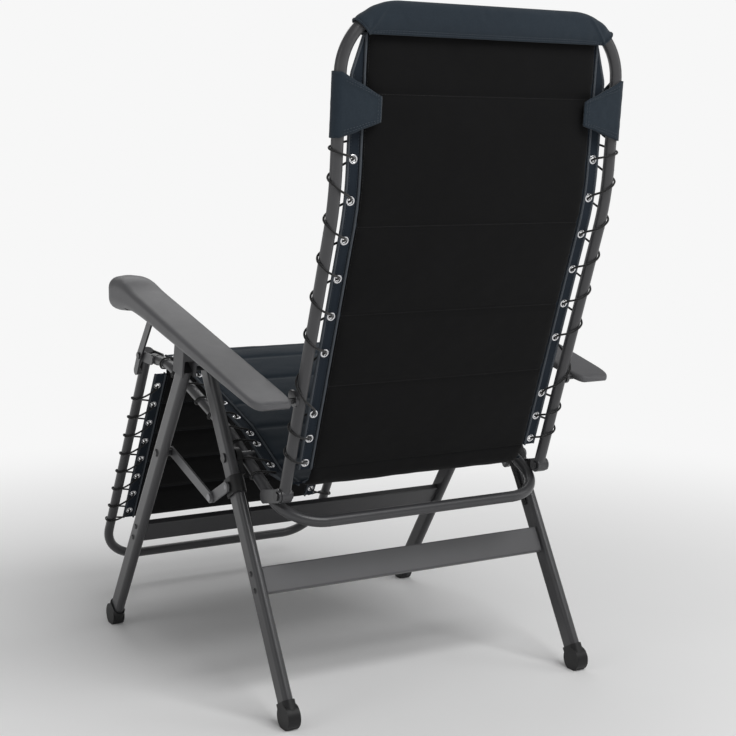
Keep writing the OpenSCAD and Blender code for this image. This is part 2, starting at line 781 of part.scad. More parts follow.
// A slotted metal channel under the armrest; the shoe runs inside it
module armrest_channel(side) {
    color("#7a7a7c") at_side(side) along(channel_x, apex, arm_dir) {
        translate([0, 0, -shoe_half - 4]) linear_extrude(slide_travel + 2 * shoe_half + 8) {
            translate([-channel_w / 2, channel_high - channel_wall]) square([channel_w, channel_wall]);
            for (s = [-1, 1]) {
                translate([s * (channel_w - channel_wall) / 2 - channel_wall / 2, channel_low])
                    square([channel_wall, channel_high - channel_low]);
                translate([s * (channel_w + slot_w) / 4 - (channel_w - slot_w) / 4, channel_low])
                    square([(channel_w - slot_w) / 2, channel_wall]);
            }
        }
    }
}

module armrest_channel_left() { armrest_channel(1); }
module armrest_channel_right() { armrest_channel(-1); }

// The moulded shoe: two cheeks over the front leg's top, a neck and a runner
module slide_shoe(side) {
    inner = front_leg_x - leg_t / 2 - joint_gap;
    outer = front_leg_x + leg_t / 2 + joint_gap;
    head = leg_w / 2 + 1.5;
    runner_low = channel_low + channel_wall + shoe_play;
    runner_high = channel_high - channel_wall - shoe_play;
    color("#5a5a5c") at_side(side) difference() {
        along(0, apex, arm_up) {
            translate([inner - 4.5, -21, -9]) cube([4.5, 42, head + 23]);
            translate([outer, -21, -9]) cube([3.6, 42, 58]);
            translate([inner - 4.5, -21, head]) cube([outer + 3.6 - inner + 4.5, 42, 14]);
            translate([channel_x - slot_w / 2 + 1, -18, head + 10])
                cube([slot_w - 2, 36, runner_low - head - 8]);
            translate([channel_x - channel_w / 2 + channel_wall + 0.6, -20, runner_low])
                cube([channel_w - 2 * channel_wall - 1.2, 40, runner_high - runner_low]);
        }
        cross_pin(apex, bolt_r + running, inner - 6, front_leg_x + leg_t / 2 + 2.3);
    }
}

module slide_shoe_left() { slide_shoe(1); }
module slide_shoe_right() { slide_shoe(-1); }

rear_leg_left();
rear_leg_right();
rear_crossbar();
rear_foot_left();
rear_foot_right();
rear_crossbar_screws();
apex_bolts();
seat_pivot_block_left();
seat_pivot_block_right();
seat_pivot_bolts();
pivot_block_stays();
front_leg_left();
front_leg_right();
front_crossbar();
front_foot_left();
front_foot_right();
front_crossbar_screws();
brace_bolts();
brace_collar_left();
brace_collar_right();
brace_collar_rivets();
brace_rear_bar_left();
brace_rear_bar_right();
brace_elbow_rivets();
brace_front_bar_left();
brace_front_bar_right();
seat_frame();
seat_pad();
seat_eyelets();
seat_lacing_left();
seat_lacing_right();
knee_pins();
back_frame();
back_pad();
back_eyelets();
back_lacing_left();
back_lacing_right();
head_sleeve();
head_tab_left();
head_tab_right();
hip_pins();
armrest_rear_pins();
leg_rest_frame();
leg_rest_pad();
leg_rest_eyelets();
leg_rest_lacing_left();
leg_rest_lacing_right();
armrest_front_pins();
armrest_left();
armrest_right();
armrest_channel_left();
armrest_channel_right();
slide_shoe_left();
slide_shoe_right();
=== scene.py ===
# %% [markdown]
# # A zero gravity recliner, finished in Blender
# The chair's tubes, legs, hinges and screws come from the CAD model, in metres and already in place.
# This lesson adds what CAD leaves plain: quilted panels, laced borders, the sleeve at the head,
# moulded armrests and every surface finish.

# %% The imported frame
import json
import math

import bmesh
import bpy
import numpy as np
from mathutils import Matrix, Vector, noise
from mathutils.bvhtree import BVHTree


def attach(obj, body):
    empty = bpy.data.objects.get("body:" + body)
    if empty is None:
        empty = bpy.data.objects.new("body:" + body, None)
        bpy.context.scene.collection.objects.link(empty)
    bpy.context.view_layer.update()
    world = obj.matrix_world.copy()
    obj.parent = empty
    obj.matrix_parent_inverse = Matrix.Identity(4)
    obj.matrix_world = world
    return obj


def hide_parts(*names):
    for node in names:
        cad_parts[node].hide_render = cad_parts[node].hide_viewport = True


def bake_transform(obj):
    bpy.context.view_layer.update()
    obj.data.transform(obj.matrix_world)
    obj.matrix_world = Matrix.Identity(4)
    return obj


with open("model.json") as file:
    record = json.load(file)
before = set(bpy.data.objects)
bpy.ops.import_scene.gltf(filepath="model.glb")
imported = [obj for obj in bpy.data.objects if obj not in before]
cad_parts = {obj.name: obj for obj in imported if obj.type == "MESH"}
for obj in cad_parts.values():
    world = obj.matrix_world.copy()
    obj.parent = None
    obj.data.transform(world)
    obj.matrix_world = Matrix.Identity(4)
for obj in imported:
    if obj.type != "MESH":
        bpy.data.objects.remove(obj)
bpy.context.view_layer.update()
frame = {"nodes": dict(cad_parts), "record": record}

# %% [markdown]
# ## Camera, floor and light
# The camera comes first, so that every later render shows the same view: from behind and a little
# above, the way a buyer looks at the lacing. A long lens keeps the legs nearly parallel.

# %% Camera
camera_data = bpy.data.cameras.new("studio_camera")
camera_data.lens, camera_data.sensor_width = 73.13, 36.0
camera_data.shift_x, camera_data.shift_y = 0.0008, 0.00285
camera = bpy.data.objects.new("studio_camera", camera_data)
camera.location = (1.3805, 2.5611, 0.9322)
camera.rotation_euler = (math.radians(82.2), 0, math.radians(150.1))
bpy.context.scene.collection.objects.link(camera)
bpy.context.scene.camera = camera


# %% Floor
def link(name, mesh):
    made = bpy.data.objects.new(name, mesh)
    bpy.context.scene.collection.objects.link(made)
    return made


floor_mesh = bpy.data.meshes.new("studio_floor")
floor_mesh.from_pydata([(-40, -40, 0), (40, -40, 0), (40, 40, 0), (-40, 40, 0)], [], [(0, 1, 2, 3)])
floor = link("studio_floor", floor_mesh)

# %% [markdown]
# Four big soft lamps do the work of a light tent. Dark paint and black cloth would vanish in even
# light, so the key lamp hangs high behind the chair and leaves a bright line along each tube.

# %% Lamps and sky
def soft_lamp(name, place, target, size, watts):
    data = bpy.data.lights.new(name, "AREA")
    data.shape, data.size, data.size_y, data.energy = "RECTANGLE", size[0], size[1], watts
    lamp = bpy.data.objects.new(name, data)
    lamp.location = place
    lamp.rotation_euler = (Vector(target) - Vector(place)).to_track_quat("-Z", "Y").to_euler()
    bpy.context.scene.collection.objects.link(lamp)


SKY_LIGHT = 0.30
middle = (0, 0, 0.6)
soft_lamp("key_lamp", (-0.5, 2.9, 3.7), middle, (2.6, 1.8), 92)
soft_lamp("side_lamp", (3.4, 0.6, 1.7), middle, (1.0, 2.2), 9)
soft_lamp("rear_lamp", (-2.9, 2.0, 1.9), middle, (1.2, 2.4), 12)
soft_lamp("front_lamp", (-0.8, -3.2, 2.9), middle, (3.0, 1.5), 26)
sky = bpy.data.worlds.new("studio_sky")
sky.use_nodes = True
backdrop = sky.node_tree.nodes["Background"]
backdrop.inputs["Color"].default_value = (1, 1, 1, 1)
backdrop.inputs["Strength"].default_value = SKY_LIGHT
bpy.context.scene.world = sky
bpy.context.scene.view_settings.view_transform = "Standard"

# %% [markdown]
# ## Shader arithmetic
# A material's pattern is easier to read as a sum than as a web of boxes. This class wraps one
# socket. Python's operators add Math nodes, and `add` places any other node.

# %% The wire class
class Wire:
    def __init__(self, tree, socket):
        self.tree, self.socket = tree, socket

    def add(self, kind, settings=None, sockets=None, out=0):
        made = self.tree.nodes.new(kind)
        for key, value in (settings or {}).items():
            setattr(made, key, value)
        for key, value in (sockets or {}).items():
            if isinstance(value, Wire):
                self.tree.links.new(value.socket, made.inputs[key])
            else:
                made.inputs[key].default_value = value
        return Wire(self.tree, made.outputs[out])

    def math(self, operation, *values):
        return self.add("ShaderNodeMath", {"operation": operation}, dict(enumerate(values)))

    def __add__(self, other): return self.math("ADD", self, other)
    def __radd__(self, other): return self.math("ADD", other, self)
    def __sub__(self, other): return self.math("SUBTRACT", self, other)
    def __rsub__(self, other): return self.math("SUBTRACT", other, self)
    def __mul__(self, other): return self.math("MULTIPLY", self, other)
    def __rmul__(self, other): return self.math("MULTIPLY", other, self)

    def sine(self): return self.math("SINE", self)
    def size(self): return self.math("ABSOLUTE", self)

    def colours(self, first, second):
        """This wire as a mask from one colour to another."""
        return self.add(
            "ShaderNodeMix", {"data_type": "RGBA"},
            {0: self, 6: first, 7: second}, out=2)

    def bump(self, height_m, strength=1.0):
        """This wire, 0 to 1, as a relief that many metres high."""
        sockets = {"Height": self, "Distance": height_m, "Strength": strength}
        return self.add("ShaderNodeBump", None, sockets)


def rgba(hex_text, gain=1.0):
    """A screen colour, such as 4a4a4c, as the linear light that a shader wants."""
    parts = [int(hex_text[i:i + 2], 16) / 255 for i in (0, 2, 4)]
    return tuple(gain * (c / 12.92 if c < 0.04045 else ((c + 0.055) / 1.055) ** 2.4) for c in parts) + (1,)


def start_finish(name, **constants):
    """A new material: its Principled shader, and a wire that carries Object coordinates in metres."""
    material = bpy.data.materials.new(name)
    material.use_nodes = True
    tree = material.node_tree
    shader = next(n for n in tree.nodes if n.type == "BSDF_PRINCIPLED")
    for key, value in constants.items():
        shader.inputs[key.replace("_", " ")].default_value = value
    place = Wire(tree, None).add("ShaderNodeTexCoord", out=3)
    return material, shader, place


def feed(shader, **wires):
    for key, wire in wires.items():
        wire.tree.links.new(wire.socket, shader.inputs[key.replace("_", " ")])


def speckle(place, scale, detail=2.0, rough=0.5):
    sockets = {"Vector": place, "Scale": scale, "Detail": detail, "Roughness": rough}
    return place.add("ShaderNodeTexNoise", None, sockets)


print("shader arithmetic ready")

# %% [markdown]
# ## Painted steel
# The tubes are powder coated: paint that is baked on as dust, so it flows into a faint orange peel.
# Broad noise shifts the colour a little, and fine noise gives the peel and breaks up the gloss.

# %% Powder coat, hardware and plated steel
def powder_coat(name, hex_text, dull=0.42, peel=0.00016):
    material, shader, place = start_finish(name, Metallic=0.0, Coat_Weight=0.12, Coat_Roughness=0.3)
    cloud, grain = speckle(place, 14), speckle(place, 900, 3)
    feed(shader,
         Base_Color=cloud.colours(rgba(hex_text, 0.9), rgba(hex_text, 1.12)),
         Roughness=dull - 0.06 + grain * 0.1 + cloud * 0.05,
         Normal=grain.bump(peel, 0.7))
    return material


def bare_metal(name, hex_text, dull, brushed=0.0):
    material, shader, place = start_finish(name, Metallic=1.0)
    smear = speckle(place, 120, 3)
    scratch = place.add("ShaderNodeTexNoise", None, {
        "Vector": place.add("ShaderNodeMapping", None, {0: place, 3: (30, 900, 900)}), "Scale": 1.0})
    feed(shader,
         Base_Color=smear.colours(rgba(hex_text, 0.88), rgba(hex_text, 1.0)),
         Roughness=dull + smear * 0.1 + scratch * brushed,
         Normal=scratch.bump(0.00002, 0.4))
    return material


anthracite = powder_coat("anthracite_powder_coat", "39393b", dull=0.33)
crossbar_grey = powder_coat("crossbar_powder_coat", "4f4f51", dull=0.46)
brace_grey = powder_coat("brace_paint", "5b5b5d", dull=0.38)
bolt_black = powder_coat("blackened_bolts", "1d1d1f", dull=0.32)
nickel = bare_metal("nickel_eyelets", "e4e4e6", 0.14)
zinc = bare_metal("zinc_rivets", "9b9b9d", 0.34, 0.1)
channel_metal = bare_metal("drawn_aluminium", "8d8e90", 0.33, 0.25)
print("painted and plated finishes: 7")

# %% [markdown]
# ## Moulded plastic
# Armrests are spark-textured: the mould is eroded so that the part hides scuffs. Cells of a Voronoi
# pattern make the pebbles. Two noises vary the tone and the roughness at random over the part.

# %% Armrest and black plastics
def moulded(name, hex_text, dull, pebble=650, relief=0.00018):
    material, shader, place = start_finish(name, Specular_IOR_Level=0.42)
    cells = place.add("ShaderNodeTexVoronoi", None, {"Vector": place, "Scale": pebble})
    haze = speckle(place, 9, 3)
    worn = speckle(place, 45, 4, 0.6)
    feed(shader,
         Base_Color=(haze * 0.7 + worn * 0.3).colours(rgba(hex_text, 0.86), rgba(hex_text, 1.14)),
         Roughness=dull + worn * 0.14 - haze * 0.06,
         Normal=(cells * 0.8 + worn * 0.2).bump(relief, 0.8))
    return material


arm_plastic = moulded("armrest_plastic", "565658", 0.42)
shoe_plastic = moulded("shoe_plastic", "505052", 0.46)
black_plastic = moulded("black_moulding", "131314", 0.45, 900, 0.0001)
print("plastics: 3")

# %% [markdown]
# ## Woven cloth
# The cover is a plain weave of thick polyester yarn. Each cloth piece carries a vector called
# `weave`: metres across the chair, metres along the panel, and height. Two sine waves of it make
# warp and weft, and their product says which yarn lies on top. Slow noise adds fading and lint.

# %% Cloth
def woven(name, dark, light, yarn=0.0011, lint=0.25, sheen=0.04, dull=0.86):
    material, shader, place = start_finish(
        name, Sheen_Weight=sheen, Sheen_Roughness=0.5, Specular_IOR_Level=0.12)
    weave = place.add("ShaderNodeAttribute", {"attribute_name": "weave"}, out=1)
    across = weave.add("ShaderNodeSeparateXYZ", None, {0: weave}, out=0)
    along = weave.add("ShaderNodeSeparateXYZ", None, {0: weave}, out=1)
    turn = math.pi / yarn
    warp, weft = (across * turn).sine(), (along * turn).sine()
    over = warp * weft * 0.5 + 0.5
    yarns = over * warp.size() + (1 - over) * weft.size()
    fade, slub = speckle(weave, 7, 3), speckle(weave, 260, 2)
    tone = yarns * 0.35 + fade * 0.35 + slub * lint
    feed(shader,
         Base_Color=tone.colours(rgba(dark), rgba(light)),
         Roughness=dull + slub * 0.12 - yarns * 0.05,
         Normal=(yarns * 0.8 + slub * 0.4).bump(0.00035, 0.6))
    return material


black_cloth = woven("black_panel_cloth", "050505", "131314")
navy_cloth = woven("navy_cover_cloth", "151b22", "2f3942", lint=0.35, sheen=0.12)
border_cloth = woven("border_webbing", "11161d", "2b333c", yarn=0.0016)
piping_cloth = woven("piping_cloth", "33373c", "5a5f65", yarn=0.0009)
print("cloths: 4")

# %% [markdown]
# ## Cord and thread
# Elastic lacing has a braided jacket. Its mesh carries `weave` too: metres along the cord, and turns
# around it. Two families of diagonal waves cross, which is what a braid is.

# %% Braid
def braided(name, dark, light, strand=0.0016):
    material, shader, place = start_finish(name, Sheen_Weight=0.2, Specular_IOR_Level=0.3)
    weave = place.add("ShaderNodeAttribute", {"attribute_name": "weave"}, out=1)
    along = weave.add("ShaderNodeSeparateXYZ", None, {0: weave}, out=0) * (math.pi / strand)
    around = weave.add("ShaderNodeSeparateXYZ", None, {0: weave}, out=1) * (6 * math.pi)
    strands = ((along + around).sine() * (along - around).sine()).size()
    lint = speckle(place, 500)
    feed(shader,
         Base_Color=(strands * 0.7 + lint * 0.3).colours(rgba(dark), rgba(light)),
         Roughness=0.62 + lint * 0.2,
         Normal=strands.bump(0.0004, 0.8))
    return material


elastic_cord = braided("elastic_lacing", "070707", "1c1c1d")
navy_thread = braided("navy_thread", "2a323b", "59636e", strand=0.0005)
black_thread = braided("black_thread", "0b0b0c", "2c2c2e", strand=0.0005)
print("cords and threads: 3")

# %% [markdown]
# The floor is a paper sweep. Near the chair it takes shadows. Further out it fades into a plain
# glow, and the sky shows the same glow to the camera alone, so no horizon cuts across the view.

# %% Floor finish
GLOW = 0.93
floor_finish, floor_shader, floor_place = start_finish("studio_paper", Specular_IOR_Level=0.1)
paper = speckle(floor_place, 3)
feed(floor_shader,
     Base_Color=paper.colours((0.9, 0.9, 0.9, 1), (0.92, 0.92, 0.92, 1)),
     Roughness=paper * 0.1 + 0.8)
far_off = floor_place.add("ShaderNodeVectorMath", {"operation": "LENGTH"}, {0: floor_place}, out=1)
FADE_FROM, FADE_TO = 0.5, 2.3   # metres from the middle of the chair
fade = far_off.add(
    "ShaderNodeMapRange", {"interpolation_type": "SMOOTHSTEP"}, {0: far_off, 1: FADE_FROM, 2: FADE_TO})
glow = fade.add("ShaderNodeEmission", None, {0: (1, 1, 1, 1), 1: GLOW})
lit = Wire(floor_finish.node_tree, floor_shader.outputs[0])
sweep = fade.add("ShaderNodeMixShader", None, {0: fade, 1: lit, 2: glow})
floor_out = next(n for n in floor_finish.node_tree.nodes if n.type == "OUTPUT_MATERIAL")
floor_finish.node_tree.links.new(sweep.socket, floor_out.inputs[0])
floor_mesh.materials.append(floor_finish)

seen = Wire(sky.node_tree, None).add("ShaderNodeLightPath")
strength = seen * (GLOW - SKY_LIGHT) + SKY_LIGHT
sky.node_tree.links.new(strength.socket, backdrop.inputs["Strength"])

# %% [markdown]
# ## Finishing the CAD pieces
# The record names a slot for every CAD node, so one table gives each its finish.

# %% Finishes for the CAD nodes
slot_finish = {
    "frame_paint": anthracite, "light_paint": crossbar_grey, "brace_steel": brace_grey,
    "rivet_steel": zinc, "dark_hardware": bolt_black, "black_plastic": black_plastic,
    "arm_plastic": shoe_plastic, "bright_metal": channel_metal, "eyelet_metal": nickel,
    "elastic": elastic_cord, "panel_fabric": black_cloth, "navy_fabric": navy_cloth,
}
for part in frame["record"]["subparts"]:
    node = frame["nodes"][part["node"]]
    node.data.materials.clear()
    node.data.materials.append(slot_finish[part["material_slot"]])
print("CAD nodes finished:", len(frame["nodes"]))

# %% [markdown]
# ## Routes
# Seat, back and leg rest each follow a bent tube that is the same on both sides. A `Route` is that
# bend seen from the side. It turns a distance along the tube, and a height off it, into a place.

# %% Routes along the bent tubes
def rounded(corners, bend):
    """Close (y, z) points along a line whose inner corners have that radius, in metres."""
    corners = [np.array(c, float) for c in corners]
    line = [corners[0]]
    for before, at, after in zip(corners, corners[1:], corners[2:]):
        a = (at - before) / np.linalg.norm(at - before)
        b = (after - at) / np.linalg.norm(after - at)
        angle = math.atan2(a[0] * b[1] - a[1] * b[0], a @ b)
        hub = at - a * bend * math.tan(abs(angle) / 2) + math.copysign(bend, angle) * np.array([-a[1], a[0]])
        spoke = at - a * bend * math.tan(abs(angle) / 2) - hub
        for part in np.linspace(0, angle, 25):
            c, s = math.cos(part), math.sin(part)
            line.append(hub + np.array([spoke[0] * c - spoke[1] * s, spoke[0] * s + spoke[1] * c]))
    return np.array(line + [corners[-1]])


class Route:
    def __init__(self, line):
        steps = np.linalg.norm(np.diff(line, axis=0), axis=1)
        walked = np.concatenate([[0], np.cumsum(steps)])
        self.length = walked[-1]
        self.s = np.linspace(0, self.length, int(self.length / 0.001) + 2)
        self.points = np.stack([np.interp(self.s, walked, line[:, i]) for i in (0, 1)], axis=1)
        self.headings = np.gradient(self.points, self.s, axis=0)
        self.headings /= np.linalg.norm(self.headings, axis=1, keepdims=True)

    def at(self, s):
        return np.array([np.interp(s, self.s, self.points[:, i]) for i in (0, 1)])

    def heading(self, s):
        h = np.array([np.interp(s, self.s, self.headings[:, i]) for i in (0, 1)])
        return h / np.linalg.norm(h)

    def place(self, x, s, height):
        """The place x across, s along and height off the tube's middle, as x, y, z."""
        p, h = self.at(s), self.heading(s)
        if s < 0:
            p = p + h * s
        if s > self.length:
            p = p + h * (s - self.length)
        return Vector((x, p[0] - h[1] * height, p[1] + h[0] * height))

    def measure(self, xyz):
        """Every vertex as x, s, height: the reverse of place."""
        yz = xyz[:, 1:]
        near = np.empty(len(yz), int)
        for i in range(0, len(yz), 4000):
            gap = yz[i:i + 4000, None, :] - self.points[None, :, :]
            near[i:i + 4000] = np.argmin((gap ** 2).sum(axis=2), axis=1)
        off = yz - self.points[near]
        h = self.headings[near]
        along = self.s[near] + (off * h).sum(axis=1)
        height = -off[:, 0] * h[:, 1] + off[:, 1] * h[:, 0]
        return np.stack([xyz[:, 0], along, height], axis=1)


def bezier(a, a_way, b, b_way, reach):
    t = np.linspace(0, 1, 30)[:, None]
    a, b = np.array(a), np.array(b)
    p = [a, a + np.array(a_way) * reach, b - np.array(b_way) * reach, b]
    return (1 - t) ** 3 * p[0] + 3 * t * (1 - t) ** 2 * p[1] + 3 * t * t * (1 - t) * p[2] + t ** 3 * p[3]


back_route = Route(rounded([(0.340, 0.378), (0.521, 0.874), (0.5496, 1.170)], 0.400))
seat_tube = Route(rounded([(-0.237, 0.5475), (-0.155, 0.545), (0.125, 0.452), (0.360, 0.329)], 0.150))
leg_route = Route(np.array([(-0.275, 0.550), (-0.566, 0.062)]))
seat_route = Route(np.array([*[seat_tube.at(s) for s in np.linspace(0, 0.508, 60)], (0.312, 0.384)]))
SEAT_SPAN, LEG_SPAN, BACK_SPAN = (0.004, 0.578), (0.054, 0.458), (0.044, 0.790)
knee_route = Route(bezier(
    seat_route.at(SEAT_SPAN[0]), -seat_route.heading(SEAT_SPAN[0]),
    leg_route.at(LEG_SPAN[0]), leg_route.heading(LEG_SPAN[0]), 0.036))
hip_route = Route(bezier(
    (0.310, 0.3843), seat_route.heading(0.57), back_route.at(0.046), back_route.heading(0.046), 0.022))
for label, route in (("back", back_route), ("seat", seat_route), ("leg rest", leg_route)):
    print(label, "route: %.3f m" % route.length)

# %% [markdown]
# Every mesh below is made by one of two helpers. `solid` turns points and faces into an object and
# records the cloth direction. `tube` sweeps a round section along a line without twisting it.

# %% Mesh helpers
def set_weave(mesh, weave):
    data = mesh.attributes.new("weave", "FLOAT_VECTOR", "POINT").data
    data.foreach_set("vector", np.asarray(weave, float).ravel())


def coordinates(mesh):
    co = np.empty(len(mesh.vertices) * 3)
    mesh.vertices.foreach_get("co", co)
    return co.reshape(-1, 3)


def solid(name, verts, faces, finish, weave=None):
    mesh = bpy.data.meshes.new(name)
    mesh.from_pydata([tuple(v) for v in verts], [], faces)
    mesh.materials.append(finish)
    mesh.shade_smooth()
    if weave is not None:
        set_weave(mesh, weave)
    return link(name, mesh)


def tube(points, radius, sides=8):
    """Verts, faces and weave of a round bar along the points, closed at both ends."""
    pts = np.array([tuple(p) for p in points])
    way = np.gradient(pts, axis=0)
    way /= np.linalg.norm(way, axis=1, keepdims=True)
    walked = np.concatenate([[0], np.cumsum(np.linalg.norm(np.diff(pts, axis=0), axis=1))])
    side = np.cross(way[0], (0.31, 0.52, 0.79))
    verts, weave, faces = [], [], []
    for p, w, s in zip(pts, way, walked):
        side = side - w * (side @ w)
        side /= np.linalg.norm(side)
        up = np.cross(w, side)
        for k in range(sides):
            a = 2 * math.pi * k / sides
            verts.append(p + (side * math.cos(a) + up * math.sin(a)) * radius)
            weave.append((s, k / sides, 0))
    n = len(pts)
    for i in range(n - 1):
        for k in range(sides):
            a, b = i * sides + k, i * sides + (k + 1) % sides
            faces.append((a, b, b + sides, a + sides))
    faces.append(tuple(range(sides))[::-1])
    faces.append(tuple(range((n - 1) * sides, n * sides)))
    return verts, faces, weave


def gather(name, parts, finish):
    """Several (verts, faces, weave) sets as one object."""
    verts, faces, weave = [], [], []
    for v, f, w in parts:
        base = len(verts)
        verts += list(v)
        weave += list(w)
        faces += [tuple(i + base for i in face) for face in f]
    return solid(name, verts, faces, finish, weave)


def outward(obj):
    """Merges doubles and points every face outwards."""
    bm = bmesh.new()
    bm.from_mesh(obj.data)
    bmesh.ops.remove_doubles(bm, verts=bm.verts, dist=1e-6)
    bmesh.ops.recalc_face_normals(bm, faces=bm.faces)
    bm.to_mesh(obj.data)
    bm.free()


def baked(obj):
    """Applies the live modifiers, so that the piece is a plain mesh."""
    graph = bpy.context.evaluated_depsgraph_get()
    fresh = bpy.data.meshes.new_from_object(obj.evaluated_get(graph))
    old = obj.data
    obj.modifiers.clear()
    obj.data = fresh
    fresh.name = old.name
    bpy.data.meshes.remove(old)
    return obj


print("mesh helpers ready")

# %% [markdown]
# ## Quilted panels
# A panel is two covers with wadding between them, sewn through in straight lines. The sewing stops
# the wadding from moving, and between two seams the cover swells. So the panel starts as a thin
# slab, its seams and rim are pinned, and cloth under a little air pressure swells between them.
# The seams are then drawn in, because remeshing can't keep anything narrower than one voxel.

# %% Panel helpers
HALF = 0.2215       # half the quilted width
THIN = 0.011        # thickness before it swells
VOXEL = 0.006
SEAM_DEPTH = 0.62   # how far a seam is drawn in, as a share of the thickness
LIFT = 0.005        # from the tubes' middle plane to the panels', towards the sitter
LEG_INSET = 0.008   # how much narrower the leg panel is on each side


def slab(name, route, start, end, lift, half):
    """A thin closed slab along a route, with square corners."""
    n, m = int((end - start) / 0.012), 36
    verts, faces = [], []
    for side in (1, -1):
        for i in range(n + 1):
            s = start + (end - start) * i / n
            for j in range(m + 1):
                x = half * (2 * j / m - 1)
                verts.append(route.place(x, s, lift + side * THIN / 2))
    row, sheet = m + 1, (n + 1) * (m + 1)
    for i in range(n):
        for j in range(m):
            a = i * row + j
            faces.append((a, a + row, a + row + 1, a + 1))
            faces.append((a + sheet, a + sheet + 1, a + sheet + row + 1, a + sheet + row))
    rim = list(range(m + 1)) + [i * row + m for i in range(1, n + 1)]
    rim += [n * row + j for j in range(m - 1, -1, -1)] + [i * row for i in range(n - 1, 0, -1)]
    for a, b in zip(rim, rim[1:] + rim[:1]):
        faces.append((a, b, b + sheet, a + sheet))
    obj = solid(name, verts, faces, black_cloth)
    outward(obj)
    return obj


def seam_gap(s, seams):
    """The distance of each place along a panel from its nearest seam."""
    if not seams:
        return np.full(len(s), 1.0)
    return np.min(np.abs(s[:, None] - np.array(seams)[None, :]), axis=1)


def swell(obj, route, seams, start, end, half, cap):
    """Blows the panel up between its pinned seams, no vertex by more than the cap."""
    mesh = obj.data
    rest = coordinates(mesh)
    xsh = route.measure(rest)
    gap = seam_gap(xsh[:, 1], seams)
    rim = np.minimum(half - np.abs(xsh[:, 0]), np.minimum(xsh[:, 1] - start, end - xsh[:, 1]))
    group = obj.vertex_groups.new(name="sewn")
    group.add([int(i) for i in np.nonzero((gap < 0.0042) | (rim < 0.006))[0]], 1.0, "REPLACE")
    cloth = obj.modifiers.new("swell", "CLOTH")
    s = cloth.settings
    s.quality, s.mass = 4, 0.25
    s.tension_stiffness = s.compression_stiffness = 6
    s.shear_stiffness, s.bending_stiffness = 3, 0.3
    s.use_pressure, s.uniform_pressure_force = True, 4.0
    s.effector_weights.gravity = 0
    s.vertex_group_mass = "sewn"
    scene = bpy.context.scene
    for f in range(1, 21):
        scene.frame_set(f)
    blown = obj.evaluated_get(bpy.context.evaluated_depsgraph_get()).data
    move = coordinates(blown) - rest
    far = np.linalg.norm(move, axis=1, keepdims=True)
    move *= np.minimum(1, cap / np.maximum(far, 1e-9))
    obj.modifiers.clear()
    obj.vertex_groups.clear()
    scene.frame_set(1)
    mesh.vertices.foreach_set("co", (rest + move).ravel())
    print(obj.name, "swelled by up to %.1f mm" % (1000 * np.linalg.norm(move, axis=1).max()))


def quilt(name, route, span, seams, half=HALF, cap=0.008, sitter=1):
    """A quilted panel, navy on the sitter's side and black on the other."""
    (start, end), lift = span, LIFT * sitter
    obj = slab(name, route, start, end, lift, half)
    remesh = obj.modifiers.new("voxels", "REMESH")
    remesh.mode, remesh.voxel_size = "VOXEL", VOXEL
    baked(obj)
    swell(obj, route, seams, start, end, half, cap)
    mesh = obj.data
    x, s, h = route.measure(coordinates(mesh)).T
    h = h - lift
    gap = seam_gap(s, seams)
    h = h * (1 - SEAM_DEPTH * np.exp(-(gap / 0.0065) ** 2))
    rim = np.clip(np.minimum(half - np.abs(x), np.minimum(s - start, end - s)) / 0.012, 0, 1)
    h = h * (0.35 + 0.65 * np.sqrt(rim))
    wave = np.array([noise.noise(Vector((a * 9, b * 14, 3.7 * sitter))) for a, b in zip(x, s)])
    fine = np.array([noise.noise(Vector((a * 34, b * 60, 9.1 * sitter))) for a, b in zip(x, s)])
    h = h + (wave * 0.0016 + fine * 0.0006) * np.clip(gap / 0.02, 0, 1) * rim
    for vert, (a, b, c) in zip(mesh.vertices, zip(x, s, h + lift)):
        vert.co = route.place(a, b, c)
    finer = obj.modifiers.new("finer", "SUBSURF")
    finer.levels = finer.render_levels = 1
    baked(obj)
    mesh = obj.data
    mesh.materials.clear()
    mesh.materials.append(navy_cloth)
    mesh.materials.append(black_cloth)
    mesh.shade_smooth()
    xsh = route.measure(coordinates(mesh))
    set_weave(mesh, xsh)
    for face in mesh.polygons:
        if np.mean([xsh[i, 2] for i in face.vertices]) * sitter < lift * sitter:
            face.material_index = 1
    print(name, len(mesh.polygons), "faces")
    return obj


# %% [markdown]
# The back panel has four seams far apart: two covers of one black cloth at the rear, and navy
# towards the sitter. Seat and leg rest have closer channels.

# %% Back, seat and leg panels
back_seams = [0.203, 0.332, 0.486, 0.695]
seat_seams = [0.095, 0.19, 0.285, 0.38, 0.475]
leg_seams = [0.135, 0.215, 0.295, 0.375]
back_panel = quilt("back_panel", back_route, BACK_SPAN, back_seams, cap=0.008)
seat_panel = quilt("seat_panel", seat_route, SEAT_SPAN, seat_seams, cap=0.007)
leg_panel = quilt(
    "leg_panel", leg_route, LEG_SPAN, leg_seams, half=HALF - LEG_INSET, cap=0.007, sitter=-1)
for panel, body in ((back_panel, "back"), (seat_panel, "seat"), (leg_panel, "leg_rest")):
    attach(panel, body)
    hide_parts(body + "_pad")

# %% [markdown]
# At the knee and at the hip the same cloth runs on over the hinge. Each bridge is its own short
# panel, quilted along a curve that joins the two bodies' routes.

# %% Knee and hip bridges
TUCK = 0.003        # how far a bridge runs under the panels at its ends
knee_bridge = quilt(
    "knee_bridge", knee_route, (-TUCK, knee_route.length + TUCK), [], half=HALF - 0.006, cap=0.003, sitter=-1)
hip_bridge = quilt("hip_bridge", hip_route, (-TUCK, hip_route.length + TUCK), [], cap=0.002)
for bridge, far_body, route in ((knee_bridge, "leg_rest", knee_route), (hip_bridge, "back", hip_route)):
    route.place(0, 0, 0)
    route.place(0, route.length, 0)
    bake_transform(bridge)

